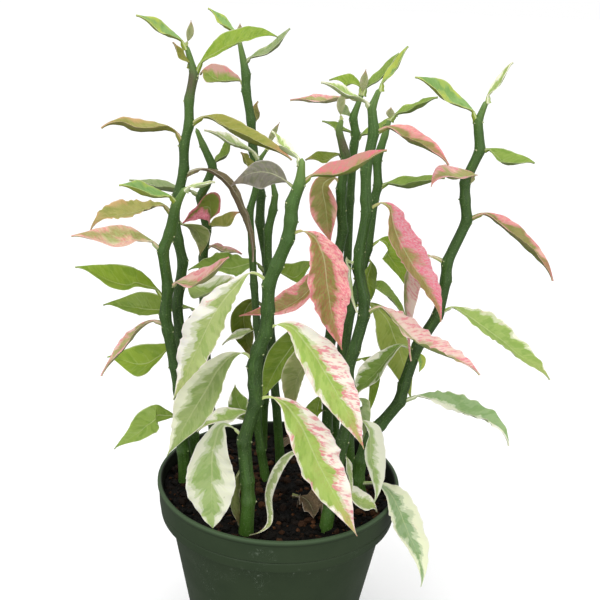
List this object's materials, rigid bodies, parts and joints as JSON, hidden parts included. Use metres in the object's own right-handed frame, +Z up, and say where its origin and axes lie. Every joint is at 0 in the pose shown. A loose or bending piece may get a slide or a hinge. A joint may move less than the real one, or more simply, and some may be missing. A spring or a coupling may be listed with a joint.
{
  "type": "potted plant",
  "caption": "Potted succulent shrub: zig-zag green stalks with drooping variegated leaves, standing in soil in a round tapered nursery pot.",
  "frame": {"origin": "centre of the pot's flat underside", "axes": "+Z up along the pot's axis, +X to the right and -Y toward the camera in the picture"},
  "size_m": [0.1961, 0.1127, 0.2903],
  "materials": {
    "pot_plastic": "dark green, softly shiny, scuffed",
    "potting_soil": "damp dark bark and peat",
    "foliage": "waxy green with cream and pink margins",
    "dead_leaf": "dry and dull"
  },
  "bodies": {
    "root": {"pot": "pot_plastic", "soil": "potting_soil", "stalk_left_tall": "foliage", "stalk_left_front": "foliage", "stalk_left_back": "foliage", "stalk_back_tall": "foliage", "stalk_thin": "foliage", "stalk_middle": "foliage", "stalk_front": "foliage", "stalk_right_front": "foliage", "stalk_right_back": "foliage", "stalk_back_right": "foliage", "stalk_middle_right": "foliage", "stalk_far_right": "foliage", "dried_leaf": "dead_leaf", "dried_scrap": "dead_leaf"}
  },
  "joints": []
}
